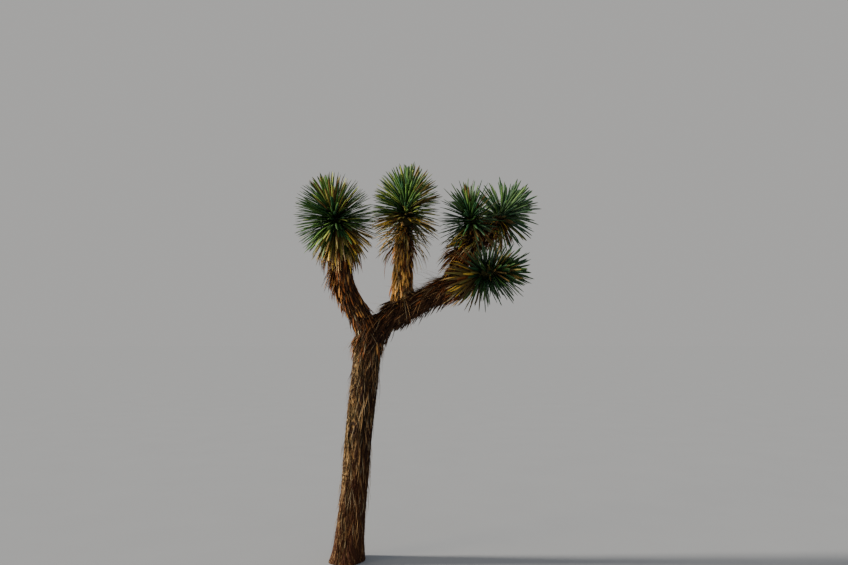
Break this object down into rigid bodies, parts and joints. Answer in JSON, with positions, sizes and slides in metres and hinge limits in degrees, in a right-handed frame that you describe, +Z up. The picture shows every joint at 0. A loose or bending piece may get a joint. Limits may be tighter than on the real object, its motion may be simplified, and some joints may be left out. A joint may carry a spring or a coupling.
{
  "type": "joshua tree",
  "caption": "Young Joshua tree: a leaning, shaggy trunk forks into boughs that end in round heads of dagger leaves above skirts of dry leaves",
  "frame": {"origin": "the middle of the flat cut under the trunk, at ground level", "axes": "+Z up along the tree's height; +X to the right in the front view, the way that the trunk leans and the long bough reaches; +Y away from the viewer of the front view"},
  "size_m": [1.962, 1.0764, 3.1623],
  "materials": {
    "bark": "rough, stringy and matte",
    "green_leaf": "waxy satin",
    "dry_leaf": "dry and matte"
  },
  "bodies": {
    "root": {"trunk": "bark", "left_bough_lower": "bark", "left_bough_upper": "bark", "right_bough_lower": "bark", "right_bough_outer": "bark", "centre_bough": "bark", "low_right_bough": "bark", "high_right_bough": "bark", "twin_left_bough": "bark", "twin_right_bough": "bark", "left_head": "green_leaf", "centre_head": "green_leaf", "low_right_head": "green_leaf", "twin_left_head": "green_leaf", "twin_right_head": "green_leaf", "left_skirt": "dry_leaf", "centre_skirt": "dry_leaf", "low_right_skirt": "dry_leaf", "high_right_skirt": "dry_leaf", "twin_right_skirt": "dry_leaf"}
  },
  "joints": []
}
